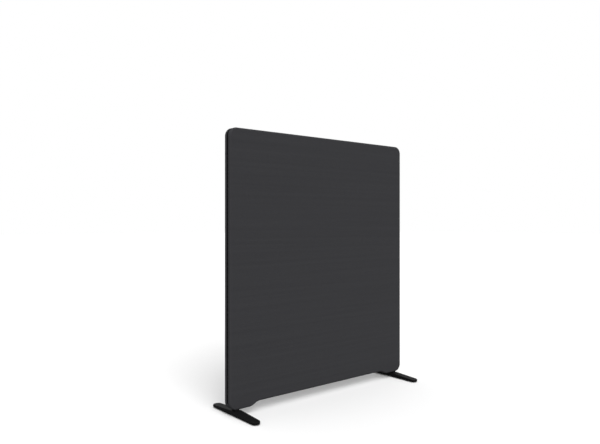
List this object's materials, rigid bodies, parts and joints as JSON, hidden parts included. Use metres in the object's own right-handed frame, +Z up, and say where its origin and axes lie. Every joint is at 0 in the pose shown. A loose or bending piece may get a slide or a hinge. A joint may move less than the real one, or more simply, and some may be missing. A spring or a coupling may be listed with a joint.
{
  "type": "acoustic divider screen",
  "caption": "Free-standing fabric-covered acoustic screen with rounded corners, a raised lower edge, flat bar feet and a zip round the rim of its removable cover.",
  "frame": {"origin": "on the floor, under the middle of the panel", "axes": "+X along the width to the right seen from the front, +Y from the front to the back, +Z up"},
  "size_m": [1.2019, 0.366, 1.36],
  "materials": {
    "cover_fabric": "matte",
    "wadding": "matte",
    "pine": "matte",
    "beech": "matte",
    "absorber": "matte",
    "zip_fabric": "matte",
    "zip_teeth": "satin",
    "zip_metal": "satin",
    "foot_paint": "satin",
    "block_plastic": "matte",
    "zinc_steel": "satin",
    "insert_brass": "satin",
    "pad_rubber": "matte"
  },
  "bodies": {
    "screen": {"front_cover": "cover_fabric", "rear_cover": "cover_fabric", "front_padding": "wadding", "rear_padding": "wadding", "left_stile": "pine", "right_stile": "pine", "bottom_rail": "pine", "middle_rail": "pine", "top_rail": "pine", "frame_tenons": "beech", "core_lower": "absorber", "core_upper": "absorber", "front_zip_tape": "zip_fabric", "rear_zip_tape": "zip_fabric", "front_zip_teeth": "zip_teeth", "rear_zip_teeth": "zip_teeth", "zip_stops": "zip_metal", "closing_tape": "cover_fabric", "left_foot": "foot_paint", "right_foot": "foot_paint", "left_foot_block": "block_plastic", "right_foot_block": "block_plastic", "foot_bolts": "zinc_steel", "foot_washers": "zinc_steel", "threaded_inserts": "insert_brass", "foot_pads": "pad_rubber"},
    "slider": {"zip_slider": "zip_metal"},
    "pull": {"zip_pull": "zip_metal"}
  },
  "joints": [
    {"name": "zip_slide", "type": "slide", "parent": "screen", "child": "slider", "axis": [0, 0, 1], "range_m": [0, 1.223]},
    {"name": "pull_swing", "type": "hinge", "parent": "slider", "child": "pull", "pos_m": [0.60045, 0, 0.085], "axis": [0, -1, 0], "range_deg": [0, 175]}
  ]
}
